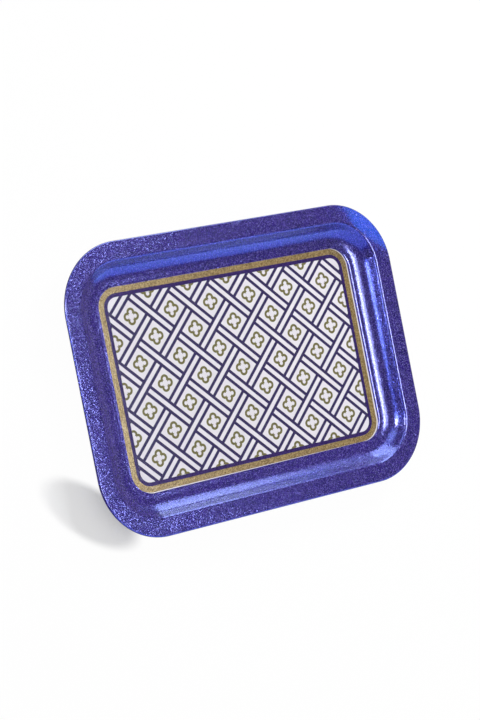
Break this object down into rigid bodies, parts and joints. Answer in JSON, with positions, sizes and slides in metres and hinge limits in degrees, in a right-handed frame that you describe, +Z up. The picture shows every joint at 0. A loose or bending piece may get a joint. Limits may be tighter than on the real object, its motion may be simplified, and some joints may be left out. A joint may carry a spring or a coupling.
{
  "type": "serving tray",
  "caption": "Rectangular pressed tin serving tray with rounded corners, coved walls, a flat flange with a rolled edge and a printed trellis panel.",
  "frame": {"origin": "middle of the flat underside, where the tray rests", "axes": "+X along the long side, +Y along the short side, +Z up out of the printed face"},
  "size_m": [0.38, 0.2784, 0.016],
  "materials": {
    "tinplate": "bright tinplate under a thin clear varnish, seen on the underside",
    "blue_glitter_lacquer": "glossy translucent blue lacquer with fine glitter over bright tin",
    "gold_ink": "satin metallic gold ink with fine grain",
    "blue_ink": "glossy translucent blue ink with fine glitter",
    "white_enamel": "smooth glossy off-white enamel"
  },
  "bodies": {
    "root": {"tray_pan": "tinplate", "blue_lacquer_coat": "blue_glitter_lacquer", "gold_border_band": "gold_ink", "blue_keyline_band": "blue_ink", "white_enamel_panel": "white_enamel", "blue_trellis_print": "blue_ink", "gold_rosette_print": "gold_ink"}
  },
  "joints": []
}
